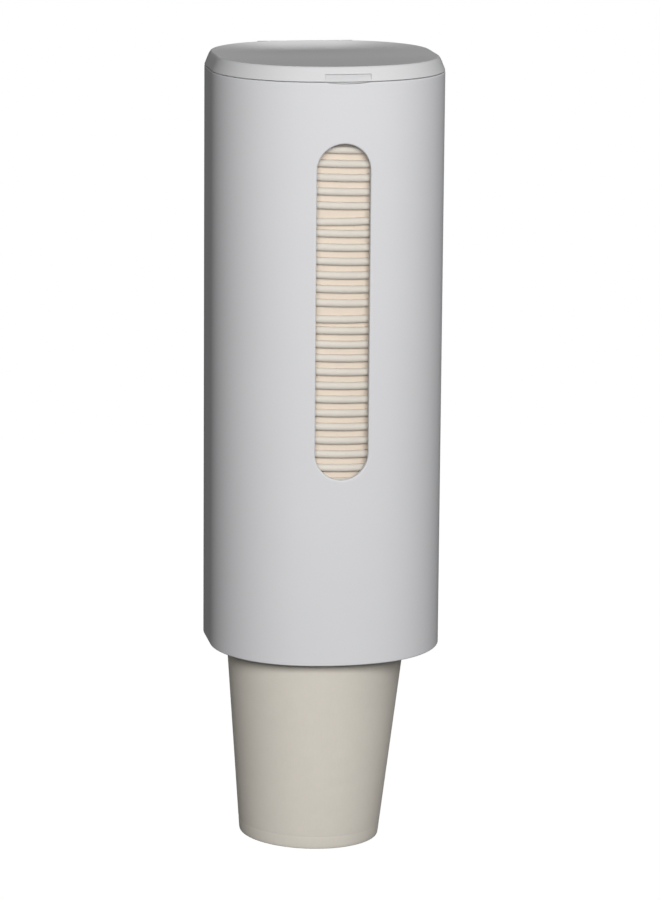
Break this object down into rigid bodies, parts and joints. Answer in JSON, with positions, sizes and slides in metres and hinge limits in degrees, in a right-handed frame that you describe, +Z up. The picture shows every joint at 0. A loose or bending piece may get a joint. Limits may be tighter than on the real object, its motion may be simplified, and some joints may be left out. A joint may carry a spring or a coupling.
{
  "type": "cup dispenser",
  "caption": "Wall-hung pull-type paper cup dispenser: D-shaped tube with an open sight window, hinged dished lid, finger-held mouth and a leaning stack of nested cups.",
  "frame": {"origin": "centre of the wall bracket's back face, which lies on the wall", "axes": "+Z up, +Y into the wall, so the front with the sight window faces -Y; +X to the right seen from the front"},
  "size_m": [0.09, 0.0995, 0.3099],
  "materials": {
    "housing_plastic": "satin",
    "lid_plastic": "satin",
    "ring_plastic": "satin",
    "bracket_plastic": "satin",
    "finger_plastic": "satin",
    "cup_paper": "matte",
    "plated_steel": "satin"
  },
  "bodies": {
    "bracket": {"wall_bracket": "bracket_plastic"},
    "housing": {"housing": "housing_plastic", "retainer_ring": "ring_plastic", "hinge_pin": "plated_steel", "ring_screw_left": "plated_steel", "ring_screw_right": "plated_steel", "cup_finger_back_right": "finger_plastic", "cup_finger_back_left": "finger_plastic", "cup_finger_front_left": "finger_plastic", "cup_finger_front_right": "finger_plastic"},
    "lid": {"lid": "lid_plastic"},
    "hanging_cup": {"hanging_cup": "cup_paper"},
    "cup_stack": {"stacked_cup_01": "cup_paper", "stacked_cup_02": "cup_paper", "stacked_cup_03": "cup_paper", "stacked_cup_04": "cup_paper", "stacked_cup_05": "cup_paper", "stacked_cup_06": "cup_paper", "stacked_cup_07": "cup_paper", "stacked_cup_08": "cup_paper", "stacked_cup_09": "cup_paper", "stacked_cup_10": "cup_paper", "stacked_cup_11": "cup_paper", "stacked_cup_12": "cup_paper", "stacked_cup_13": "cup_paper", "stacked_cup_14": "cup_paper", "stacked_cup_15": "cup_paper", "stacked_cup_16": "cup_paper", "stacked_cup_17": "cup_paper", "stacked_cup_18": "cup_paper", "stacked_cup_19": "cup_paper", "stacked_cup_20": "cup_paper", "stacked_cup_21": "cup_paper", "stacked_cup_22": "cup_paper", "stacked_cup_23": "cup_paper", "stacked_cup_24": "cup_paper", "stacked_cup_25": "cup_paper", "stacked_cup_26": "cup_paper", "stacked_cup_27": "cup_paper", "stacked_cup_28": "cup_paper", "stacked_cup_29": "cup_paper", "stacked_cup_30": "cup_paper", "stacked_cup_31": "cup_paper", "stacked_cup_32": "cup_paper", "stacked_cup_33": "cup_paper", "stacked_cup_34": "cup_paper", "stacked_cup_35": "cup_paper", "stacked_cup_36": "cup_paper"}
  },
  "joints": [
    {"name": "housing_lift", "type": "slide", "parent": "bracket", "child": "housing", "axis": [0, 0, 1], "range_m": [0, 0.01]},
    {"name": "lid_hinge", "type": "hinge", "parent": "housing", "child": "lid", "pos_m": [0, -0.0038, 0.10792], "axis": [-1, 0, 0], "range_deg": [0, 90]},
    {"name": "cup_pull", "type": "slide", "parent": "housing", "child": "hanging_cup", "axis": [-0.0283, 0, -0.9996], "range_m": [0, 0.1], "deforming": ["cup_finger_back_right", "cup_finger_back_left", "cup_finger_front_left", "cup_finger_front_right"]},
    {"name": "stack_drop", "type": "slide", "parent": "housing", "child": "cup_stack", "axis": [-0.0283, 0, -0.9996], "range_m": [0, 0.00532]}
  ],
  "couplings": [
    {"joint": "stack_drop", "follows": "cup_pull", "ratio": 0.0532}
  ]
}
